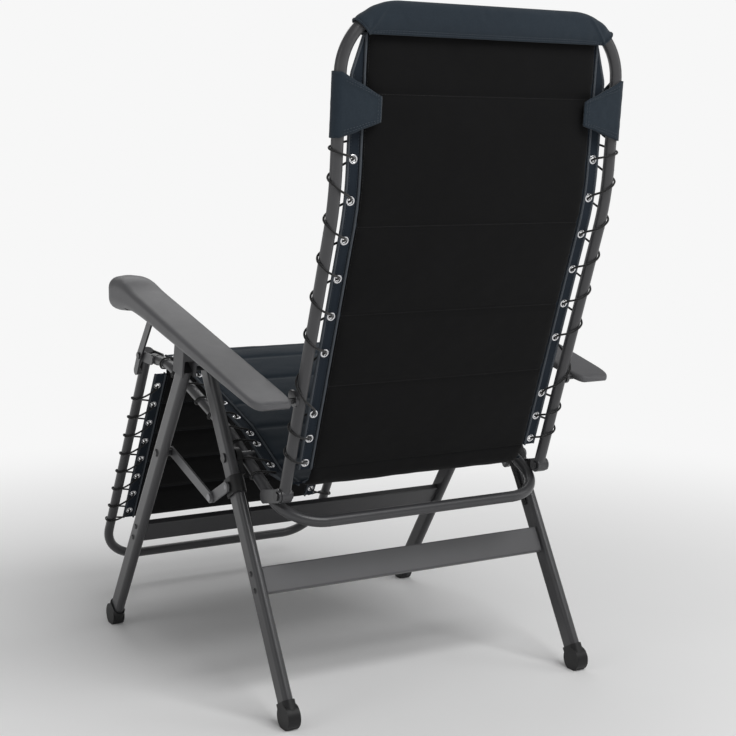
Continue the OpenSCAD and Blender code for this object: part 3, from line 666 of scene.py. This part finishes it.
# %% [markdown]
# ## Laced borders
# A strip of webbing runs down each side of a panel, with a piped edge. It carries the eyelets, so
# it has real holes. The strip is flat, and a Boolean cuts the holes before the piping is added.

# %% Borders
back_eyes = [0.058, 0.105, 0.152] + [0.265 + 0.066 * i for i in range(6)]
seat_eyes = [0.032 + 0.060 * i for i in range(7)] + [0.424, 0.486]
leg_eyes = [0.086 + 0.050 * i for i in range(8)]
EYE_X = 0.234
EYE_R = 0.0046
BAND_IN, BAND_OUT, BAND_HALF = 0.212, 0.2435, 0.0013   # inner and outer edge, half the thickness


def corner_limit(s):
    """How far out the back's border reaches: less and less above the side tube's corner."""
    return BAND_OUT - 0.32 * max(0.0, s - (back_route.length - 0.100))


def border(name, route, span, lift, eyes, body, side, narrow=None, inset=0.0):
    (start, end), half = span, BAND_HALF
    inner, outer = BAND_IN - inset, BAND_OUT - inset
    steps = int((end - start) / 0.006)
    stations = [start + (end - start) * i / steps for i in range(steps + 1)]
    edge = [min(outer, narrow(s)) if narrow else outer for s in stations]
    section = [(0, -1), (0, 1), (0.35, 1.3), (0.7, 1.3), (1, 1), (1, -1), (0.7, -1.3), (0.35, -1.3)]
    verts, faces = [], []
    for s, far in zip(stations, edge):
        for t, thick in section:
            x = inner + (far - inner) * t
            verts.append(route.place(x * side, s, lift + half * thick))
    k = len(section)
    for i in range(steps):
        for j in range(k):
            a, b = i * k + j, i * k + (j + 1) % k
            faces.append((a, b, b + k, a + k))
    faces.append(tuple(range(k))[::-1])
    faces.append(tuple(range(steps * k, steps * k + k)))
    strip = solid(name, verts, faces, border_cloth)
    outward(strip)
    punch = bmesh.new()
    for s in eyes:
        centre, way = route.place((EYE_X - inset) * side, s, lift), route.heading(s)
        up = Vector((0, -way[1], way[0]))
        turn = up.to_track_quat("Z", "X").to_matrix().to_4x4()
        bmesh.ops.create_cone(punch, cap_ends=True, segments=20, radius1=EYE_R, radius2=EYE_R, depth=0.02,
                              matrix=Matrix.Translation(centre) @ turn)
    punch_mesh = bpy.data.meshes.new("punch")
    punch.to_mesh(punch_mesh)
    punch.free()
    punch_obj = link("punch", punch_mesh)
    cut = strip.modifiers.new("holes", "BOOLEAN")
    cut.operation, cut.object, cut.solver = "DIFFERENCE", punch_obj, "EXACT"
    baked(strip)
    bpy.data.objects.remove(punch_obj)
    set_weave(strip.data, route.measure(coordinates(strip.data)))
    strip.data.materials.clear()
    strip.data.materials.append(border_cloth)
    strip.data.shade_flat()
    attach(strip, body)
    rims = [tube([route.place(x * side, s, lift) for s, x in zip(stations, edge)], 0.0026, 10)]
    for h in (-0.0035, 0.0035):
        rims.append(tube([route.place((0.2225 - inset) * side, s, lift + h) for s in stations], 0.0021, 10))
    piping = gather(name.replace("border", "piping"), rims, piping_cloth)
    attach(piping, body)


for side, hand in ((1, "left"), (-1, "right")):
    border("back_border_" + hand, back_route, (0.046, 0.788), LIFT, back_eyes, "back", side, corner_limit)
    border("seat_border_" + hand, seat_route, (0.006, 0.576), LIFT, seat_eyes, "seat", side)
    border(
        "leg_border_" + hand, leg_route, (0.056, 0.456), -LIFT, leg_eyes, "leg_rest", side, inset=LEG_INSET)
print("borders: 6, with holes:", 2 * (len(back_eyes) + len(seat_eyes) + len(leg_eyes)))

# %% [markdown]
# ## Elastic lacing
# One cord per side hangs each panel in its frame. From an eyelet it slants across the rear of the
# tube, turns round the outside, comes back in front, and drops through the next eyelet. The tube
# radius plus half the cord gives the height of every turn.

# %% Lacing
TUBE_X, WRAP = 0.266, 0.0125


def smooth_line(knots, steps):
    """A line through every knot (Catmull-Rom)."""
    pts = [Vector(knots[0])] + [Vector(k) for k in knots] + [Vector(knots[-1])]
    line = []
    for a, b, c, d in zip(pts, pts[1:], pts[2:], pts[3:]):
        for i in range(steps):
            t = i / steps
            bend, twist = 2 * a - 5 * b + 4 * c - d, 3 * b - a - 3 * c + d
            line.append(0.5 * ((2 * b) + (c - a) * t + bend * t * t + twist * t ** 3))
    return line + [pts[-2]]


def lacing(part, route, eyes, lift, side, hand, body, rear=-1, inset=0.0):
    eye_x = EYE_X - inset
    cycle = [   # share of the way to the next eyelet, x, height
        (0.0, eye_x, lift + rear * 0.0010), (0.10, eye_x + 0.004, lift + rear * 0.0075),
        (0.22, 0.2525, rear * 0.0118), (0.33, TUBE_X, rear * WRAP),
        (0.44, TUBE_X + 0.0090, rear * 0.0088), (0.52, TUBE_X + WRAP, 0.0),
        (0.60, TUBE_X + 0.0090, -rear * 0.0088), (0.70, TUBE_X, -rear * WRAP),
        (0.82, 0.2525, -rear * 0.0125), (0.93, eye_x + 0.004, lift - rear * 0.0070)]
    knots = []
    for a, b in zip(eyes, eyes[1:] + [eyes[-1] + 0.03]):
        knots += [route.place(x * side, a + (b - a) * t, h) for t, x, h in cycle]
    cord = gather(part + "_cord_" + hand, [tube(smooth_line(knots, 5), 0.0019, 8)], elastic_cord)
    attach(cord, body)
    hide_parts(body + "_lacing_" + hand)


for side, hand in ((1, "left"), (-1, "right")):
    lacing("back", back_route, back_eyes, LIFT, side, hand, "back")
    lacing("seat", seat_tube, seat_eyes, LIFT, side, hand, "seat")
    lacing("leg", leg_route, leg_eyes, -LIFT, side, hand, "leg_rest", rear=1, inset=LEG_INSET)
print("lacing cords: 6")

# %% [markdown]
# ## Sleeve over the bow
# The cover turns over the top tube and is sewn down to the panel. It is one sheet with a U-shaped
# section. Along the bow the section turns with the tube, and towards each corner its skirt gets
# shorter, which leaves the open gap between cloth and tube.

# %% Sleeve
BOW_S = back_route.length
BOW_REACH = 0.166   # half the straight part of the bow that is covered
BOW_R = 0.100       # radius of the bow's corners
BOW_TURN = math.radians(44)   # how far round a corner the sleeve goes


def bow_point(u):
    """A place along the bow from its left end, u from -1 to 1: x, s, and the way out from the panel."""
    d = u * (BOW_REACH + BOW_R * BOW_TURN)
    if abs(d) <= BOW_REACH:
        return d, BOW_S, (0.0, 1.0)
    a = math.copysign((abs(d) - BOW_REACH) / BOW_R, d)
    x = math.copysign(BOW_REACH, d) + BOW_R * math.sin(a)
    return x, BOW_S - BOW_R * (1 - math.cos(a)), (math.sin(a), math.cos(a))


SKIRT_S, SKIRT_X = 0.7845, 0.222   # where the skirt's edge is sewn down


def sleeve_point(u, v):
    """The sleeve's cloth: v runs from the rear edge over the bow to the front edge."""
    x, s, (ox, os) = bow_point(u)
    end = max(0.0, (abs(u) - 0.80) / 0.20)
    radius = 0.0128 + 0.0010 * end + 0.0008 * math.sin(u * 60) * end
    edge_x = math.copysign(min(abs(x), SKIRT_X), x)
    if 0.3 <= v <= 0.7:
        t = math.pi * (v - 0.3) / 0.4
        px, ps, h = x + ox * radius * math.sin(t), s + os * radius * math.sin(t), -radius * math.cos(t)
    else:
        k = 1 - v / 0.3 if v < 0.3 else (v - 0.7) / 0.3
        px, ps = x + (edge_x - x) * k, s + (SKIRT_S - s) * k
        h = -radius + (radius - 0.0100) * k if v < 0.3 else radius + 0.0028 * k
        h += math.copysign(0.0030 * math.sin(math.pi * k) * (1 - 0.6 * end), h)
    ripple = 0.0011 * noise.noise(Vector((px * 24, v * 5, 2.0)))
    ripple += 0.0006 * noise.noise(Vector((px * 66, v * 9, 5.0)))
    dart = (abs(px) - 0.196 - 0.7 * (BOW_S + 0.004 - ps)) / 0.0028
    return px, ps, h + math.copysign(ripple - 0.0017 * math.exp(-dart * dart), h)


def sleeve_mesh():
    columns, rows = 150, 36
    verts, faces, weave = [], [], []
    for i in range(columns + 1):
        for j in range(rows + 1):
            x, s, h = sleeve_point(2 * i / columns - 1, j / rows)
            verts.append(back_route.place(x, s, h))
            weave.append((x, j / rows * 0.15, 0))
    row = rows + 1
    for i in range(columns):
        for j in range(rows):
            a = i * row + j
            faces.append((a, a + row, a + row + 1, a + 1))
    return solid("head_sleeve_cover", verts, faces, navy_cloth, weave)


sleeve = sleeve_mesh()
wall = sleeve.modifiers.new("wall", "SOLIDIFY")
wall.thickness, wall.offset = 0.0022, 1.0
soft_edge = sleeve.modifiers.new("soft_edge", "SUBSURF")
soft_edge.levels = soft_edge.render_levels = 1
baked(sleeve)
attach(sleeve, "back")
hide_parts("head_sleeve")

# %% [markdown]
# Hems show that cloth has thickness. Each sleeve end and skirt gets a rolled edge, a thin tube along
# the border of the sheet.

# %% Sleeve hems
def sleeve_line(v, off=0.0, edge=0.995):
    line = []
    for i in range(97):
        x, s, h = sleeve_point((2 * i / 96 - 1) * edge, v)
        line.append(back_route.place(x, s, h + math.copysign(off, h)))
    return line


hem_parts = [tube(sleeve_line(0.0), 0.0015, 8), tube(sleeve_line(1.0), 0.0015, 8)]
for u in (-1, 1):
    ring = [back_route.place(*sleeve_point(u, v)) for v in np.linspace(0.02, 0.98, 60)]
    hem_parts.append(tube(ring, 0.0017, 8))
sleeve_hem = gather("head_sleeve_hem", hem_parts, navy_cloth)
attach(sleeve_hem, "back")

# %% [markdown]
# ## Head tabs
# A folded tab of cloth holds the panel to the side tube near the head. It goes round the tube and
# narrows towards the panel, with a double row of stitches.

# %% Tabs
TAB_S = (0.628 + 0.728) / 2


def tab_point(side, t, v):
    """t runs from the rear inner end (0) round the tube (0.5) to the front inner end (1); v from -1 to 1."""
    r = 0.0132
    if t < 0.38:
        k = t / 0.38
        x, h = 0.196 + (TUBE_X - 0.196) * k, -0.0112 - 0.0020 * k - 0.004 * math.sin(math.pi * k) * 0.3
    elif t > 0.62:
        k = (t - 0.62) / 0.38
        x, h = TUBE_X + (0.229 - TUBE_X) * k, 0.0132 + 0.0010 * k
    else:
        a = math.pi * (t - 0.38) / 0.24
        x, h = TUBE_X + r * math.sin(a), -r * math.cos(a)
    near = max(0.0, 1 - abs(t - 0.5) / 0.5)
    inner = 1 - min(1.0, near / 0.80)
    top, low = 0.050 - 0.036 * inner, -0.050 + 0.025 * inner
    s = TAB_S + (top if v > 0 else -low) * v
    s += 0.0012 * noise.noise(Vector((t * 9, v * 2, 4.0 * side)))
    h += 0.0007 * noise.noise(Vector((t * 14, v * 5, 8.0 * side)))
    return x * side, s, h


def tab(side, hand):
    n, m = 72, 22
    verts, faces, weave = [], [], []
    for i in range(n + 1):
        for j in range(m + 1):
            x, s, h = tab_point(side, i / n, 2 * j / m - 1)
            verts.append(back_route.place(x, s, h))
            weave.append((i / n * 0.16, s, 0))
    for i in range(n):
        for j in range(m):
            a = i * (m + 1) + j
            faces.append((a, a + m + 1, a + m + 2, a + 1) if side > 0 else (a, a + 1, a + m + 2, a + m + 1))
    cover = solid("head_tab_cover_" + hand, verts, faces, navy_cloth, weave)
    wall = cover.modifiers.new("wall", "SOLIDIFY")
    wall.thickness, wall.offset = 0.0022, 1.0
    baked(cover)
    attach(cover, "back")
    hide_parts("head_tab_" + hand)


for side, hand in ((1, "left"), (-1, "right")):
    tab(side, hand)
print("head tabs: 2")

# %% [markdown]
# ## Stitches
# A stitch repeats by the thousand, so a Geometry Nodes tree makes it. Points every few millimetres
# along a line each get a small grain of thread, turned along the line. Pitch, length and thickness
# are inputs of the tree.

# %% The stitch tree
def stitch_tree():
    tree = bpy.data.node_groups.new("stitch_row", "GeometryNodeTree")
    face = tree.interface
    face.new_socket("Geometry", in_out="INPUT", socket_type="NodeSocketGeometry")
    for name, value in (("Pitch", 0.005), ("Stitch Length", 0.0034), ("Thickness", 0.0007)):
        face.new_socket(name, in_out="INPUT", socket_type="NodeSocketFloat").default_value = value
    face.new_socket("Thread", in_out="INPUT", socket_type="NodeSocketMaterial")
    face.new_socket("Geometry", in_out="OUTPUT", socket_type="NodeSocketGeometry")
    add, join = tree.nodes.new, tree.links.new
    given, result = add("NodeGroupInput"), add("NodeGroupOutput")
    curve, points = add("GeometryNodeMeshToCurve"), add("GeometryNodeCurveToPoints")
    points.mode = "LENGTH"
    grain, scale = add("GeometryNodeMeshIcoSphere"), add("ShaderNodeCombineXYZ")
    grain.inputs["Radius"].default_value = 0.5
    grain.inputs["Subdivisions"].default_value = 1
    place, real = add("GeometryNodeInstanceOnPoints"), add("GeometryNodeRealizeInstances")
    paint = add("GeometryNodeSetMaterial")
    join(given.outputs["Geometry"], curve.inputs[0])
    join(curve.outputs[0], points.inputs["Curve"])
    join(given.outputs["Pitch"], points.inputs["Length"])
    for axis, name in enumerate(("Thickness", "Thickness", "Stitch Length")):
        join(given.outputs[name], scale.inputs[axis])
    join(points.outputs["Points"], place.inputs["Points"])
    join(points.outputs["Rotation"], place.inputs["Rotation"])
    join(grain.outputs["Mesh"], place.inputs["Instance"])
    join(scale.outputs[0], place.inputs["Scale"])
    join(place.outputs[0], real.inputs[0])
    join(real.outputs[0], paint.inputs["Geometry"])
    join(given.outputs["Thread"], paint.inputs["Material"])
    join(paint.outputs[0], result.inputs[0])
    return tree


stitches = stitch_tree()


def sew(name, lines, body, thread):
    """Rows of stitches along the lines, as one plain mesh that rides on a body."""
    verts, edges = [], []
    for line in lines:
        base = len(verts)
        verts += [tuple(p) for p in line]
        edges += [(base + i, base + i + 1) for i in range(len(line) - 1)]
    mesh = bpy.data.meshes.new(name)
    mesh.from_pydata(verts, edges, [])
    obj = link(name, mesh)
    nodes = obj.modifiers.new("stitches", "NODES")
    nodes.node_group = stitches
    values = {"Pitch": 0.005, "Stitch Length": 0.0034, "Thickness": 0.0008, "Thread": thread}
    for socket in stitches.interface.items_tree:
        if socket.in_out == "INPUT" and socket.name in values:
            nodes[socket.identifier] = values[socket.name]
    baked(obj)
    obj.data.shade_smooth()
    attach(obj, body)
    print(name, len(obj.data.polygons), "faces")


# %% [markdown]
# The rows in the channels lie on the swollen cloth, so each point of a row is dropped on to the
# panel along its normal.

# %% Rows of stitches
def on_panel(panel, route, points, sign):
    """The points, given as x and s, dropped on to the panel from one side."""
    tree = BVHTree.FromObject(panel, bpy.context.evaluated_depsgraph_get())
    line = []
    for x, s in points:
        start, aim = route.place(x, s, 0.04 * sign), route.place(x, s, 0.0)
        hit = tree.ray_cast(start, (aim - start).normalized())[0]
        if hit is not None:
            line.append(hit)
    return line


def channel_rows(panel, route, seams, ends, inset=0.0):
    rows = []
    for sign in (1, -1):
        for s in seams:
            across = [(x, s) for x in np.linspace(inset - 0.214, 0.214 - inset, 60)]
            rows.append(on_panel(panel, route, across, sign))
        for x in (inset - 0.2165, 0.2165 - inset):
            along = [(x, s) for s in np.linspace(ends[0] + 0.006, ends[1] - 0.006, 90)]
            rows.append(on_panel(panel, route, along, sign))
    return [r for r in rows if len(r) > 2]


back_rows = channel_rows(back_panel, back_route, back_seams, BACK_SPAN)
seat_rows = channel_rows(seat_panel, seat_route, seat_seams, SEAT_SPAN)
leg_rows = channel_rows(leg_panel, leg_route, leg_seams, LEG_SPAN, LEG_INSET)
sew("back_panel_stitches", back_rows, "back", black_thread)
sew("seat_panel_stitches", seat_rows, "seat", navy_thread)
sew("leg_panel_stitches", leg_rows, "leg_rest", navy_thread)


def border_rows(route, start, end, lift, inset=0.0):
    return [[route.place(x * side, s, lift + h) for s in np.linspace(start, end, 120)]
            for side in (1, -1) for x in (0.2262 - inset, 0.2398 - inset) for h in (-0.0019, 0.0019)]


sew("back_border_stitches", border_rows(back_route, 0.052, 0.722, LIFT), "back", navy_thread)
sew("seat_border_stitches", border_rows(seat_route, 0.012, 0.57, LIFT), "seat", navy_thread)
sew("leg_border_stitches", border_rows(leg_route, 0.06, 0.45, -LIFT, LEG_INSET), "leg_rest", navy_thread)

def tab_line(side, places):
    """Points just off the rear face of a tab, each place given as t and v."""
    line = []
    for t, v in places:
        x, s, h = tab_point(side, t, v)
        line.append(back_route.place(x, s, h - 0.0026))
    return line


tab_rows = []
for side in (1, -1):
    for v in (-0.88, 0.88, -0.78, 0.78):
        tab_rows.append(tab_line(side, [(t, v) for t in np.linspace(0.02, 0.36, 30)]))
    for t in (0.02, 0.045):
        tab_rows.append(tab_line(side, [(t, v) for v in np.linspace(-0.85, 0.85, 16)]))
for v in (0.030, 0.055, 0.965):
    tab_rows.append(sleeve_line(v, 0.0024, 0.9))
sew("head_stitches", tab_rows, "back", navy_thread)

# %% [markdown]
# ## Moulded armrests
# The armrest is one hollow moulding: a palm-sized bulb in front, and a blade that thins towards the
# rear. A loft joins rounded sections from front to rear, and a second, smaller loft cuts the hollow.

# %% Armrests
ARM_LINE = [  # y, top, underside, inner x, outer x, corner radius
    (-0.2572, 0.6880, 0.6780, 0.3200, 0.3320, 0.004), (-0.2566, 0.6940, 0.6720, 0.3172, 0.3348, 0.008),
    (-0.2545, 0.7005, 0.6655, 0.3112, 0.3408, 0.012), (-0.2510, 0.7060, 0.6605, 0.3051, 0.3469, 0.015),
    (-0.2460, 0.7102, 0.6567, 0.2995, 0.3525, 0.018), (-0.2390, 0.7136, 0.6541, 0.2945, 0.3575, 0.020),
    (-0.2300, 0.7158, 0.6524, 0.2910, 0.3610, 0.021), (-0.2200, 0.7172, 0.6515, 0.2900, 0.3620, 0.021),
    (-0.2050, 0.7178, 0.6512, 0.2900, 0.3620, 0.021), (-0.1800, 0.7165, 0.6525, 0.290, 0.362, 0.019),
    (-0.1550, 0.7110, 0.6545, 0.290, 0.362, 0.016), (-0.1300, 0.7015, 0.6550, 0.290, 0.362, 0.013),
    (-0.1050, 0.6932, 0.6540, 0.290, 0.362, 0.011), (-0.0400, 0.6763, 0.6425, 0.290, 0.362, 0.010),
    (0.0400, 0.6554, 0.6250, 0.290, 0.362, 0.009), (0.1500, 0.6267, 0.6010, 0.290, 0.362, 0.008),
    (0.2700, 0.5953, 0.5748, 0.290, 0.362, 0.007), (0.3600, 0.5718, 0.5552, 0.290, 0.362, 0.0062),
    (0.4000, 0.5612, 0.5465, 0.290, 0.3615, 0.006), (0.4180, 0.5562, 0.5425, 0.2925, 0.3585, 0.0058),
    (0.4280, 0.5535, 0.5415, 0.297, 0.352, 0.005), (0.4318, 0.5515, 0.5440, 0.303, 0.345, 0.0032),
]


def loft(name, stations, per_corner=6, crown=0.0):
    """Rounded sections joined from front to rear and closed at both ends."""
    verts, faces = [], []
    per_side = 6
    for y, top, low, x0, x1, r in stations:
        r = min(r, (top - low) / 2.05, (x1 - x0) / 2.05)
        ring = []
        corners = (x1 - r, top - r, 0), (x0 + r, top - r, 90), (x0 + r, low + r, 180), (x1 - r, low + r, 270)
        for cx, cz, a0 in corners:
            for k in range(per_corner + 1):
                a = math.radians(a0 + 90 * k / per_corner)
                ring.append([cx + r * math.cos(a), cz + r * math.sin(a)])
            nx, nz = {0: (x0 + r, top), 90: (x0, low + r), 180: (x1 - r, low), 270: (x1, top - r)}[a0]
            px, pz = ring[-1]
            for k in range(1, per_side):
                t = k / per_side
                lift = crown * math.sin(math.pi * t) if a0 == 0 else 0
                ring.append([px + (nx - px) * t, pz + (nz - pz) * t + lift])
        verts += [(x, y, z) for x, z in ring]
    n = len(verts) // len(stations)
    for i in range(len(stations) - 1):
        for j in range(n):
            a, b = i * n + j, i * n + (j + 1) % n
            faces.append((a, b, b + n, a + n))
    faces.append(tuple(range(n))[::-1])
    faces.append(tuple(range((len(stations) - 1) * n, len(stations) * n)))
    obj = solid(name, verts, faces, arm_plastic)
    outward(obj)
    return obj


def dense(stations, count=90):
    """More stations on a smooth line through the given ones."""
    table = np.array(stations)
    ys = np.unique(np.concatenate([np.linspace(table[0, 0], table[-1, 0], count), table[:, 0]]))
    out = []
    for y in ys:
        i = int(np.clip(np.searchsorted(table[:, 0], y) - 1, 0, len(table) - 2))
        a, b = table[i], table[i + 1]
        t = (y - a[0]) / (b[0] - a[0])
        before, after = table[max(i - 1, 0)], table[min(i + 2, len(table) - 1)]
        span = b[0] - a[0]
        ma = (b - before) / (b[0] - before[0]) * span if i > 0 else (b - a)
        mb = (after - a) / (after[0] - a[0]) * span if i < len(table) - 2 else (b - a)
        v = (2 * t ** 3 - 3 * t ** 2 + 1) * a + (t ** 3 - 2 * t * t + t) * ma
        v = v + (3 * t * t - 2 * t ** 3) * b + (t ** 3 - t * t) * mb
        v[0] = y
        out.append(tuple(v))
    return out


def armrest(hand, side):
    body = loft("armrest_moulding_" + hand, dense(ARM_LINE), crown=0.0016)
    hollow = []
    for y, top, low, *_ in dense([a for a in ARM_LINE if -0.16 < a[0] < 0.41], 40):
        hollow.append((y, top - 0.0038, low - 0.02, 0.2936, 0.3584, 0.003))
    cutter = loft("armrest_hollow_" + hand, hollow, 2)
    cut = body.modifiers.new("hollow", "BOOLEAN")
    cut.operation, cut.object, cut.solver = "DIFFERENCE", cutter, "EXACT"
    baked(body)
    bpy.data.objects.remove(cutter)
    if side < 0:
        for v in body.data.vertices:
            v.co.x = -v.co.x
        body.data.flip_normals()
    body.data.materials.clear()
    body.data.materials.append(arm_plastic)
    body.data.shade_smooth()
    body.data.set_sharp_from_angle(angle=math.radians(38))
    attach(body, "armrests")
    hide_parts("armrest_" + hand)
    print(body.name, len(body.data.polygons), "faces")


for side, hand in ((1, "left"), (-1, "right")):
    armrest(hand, side)
